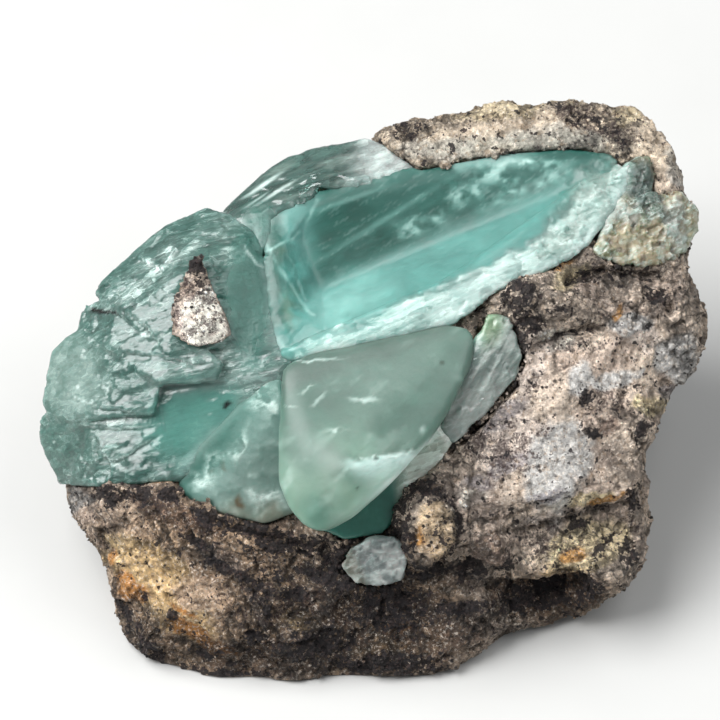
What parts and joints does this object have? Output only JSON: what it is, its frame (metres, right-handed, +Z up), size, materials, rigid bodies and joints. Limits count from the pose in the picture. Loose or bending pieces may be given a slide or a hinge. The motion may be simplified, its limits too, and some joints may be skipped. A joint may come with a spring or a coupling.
{
  "type": "phosphophyllite on matrix",
  "caption": "Hand-sized mineral specimen: glassy blue-green crystals set in a sloping face of speckled beige rock, with a flat base to stand on.",
  "frame": {"origin": "bottom centre of the specimen's box, on the flat base", "axes": "+X to the right along the display face, +Y away from the viewer, +Z up"},
  "size_m": [0.0404, 0.0296, 0.0216],
  "materials": {
    "matrix_rock": "rough, granular, beige and cream with dark specks",
    "teal_crystal": "glassy, deep blue-green, translucent",
    "aqua_crystal": "glassy and fractured, aqua, translucent",
    "pale_green_crystal": "satin glassy, pale green, translucent",
    "clear_crystal": "glassy, nearly colourless, transparent",
    "grey_crystal": "cloudy grey-white, translucent",
    "milky_crystal": "milky aqua with white veils, translucent",
    "olive_crystal": "cloudy yellowish green, translucent"
  },
  "bodies": {
    "root": {"matrix": "matrix_rock", "matrix_chip": "matrix_rock", "main_crystal": "teal_crystal", "left_crystals": "aqua_crystal", "front_crystal": "pale_green_crystal", "upper_crystals": "clear_crystal", "side_crystal": "grey_crystal", "milky_crystal": "milky_crystal", "lower_crystal": "teal_crystal", "white_crystal": "grey_crystal", "right_crystals": "olive_crystal"}
  },
  "joints": []
}
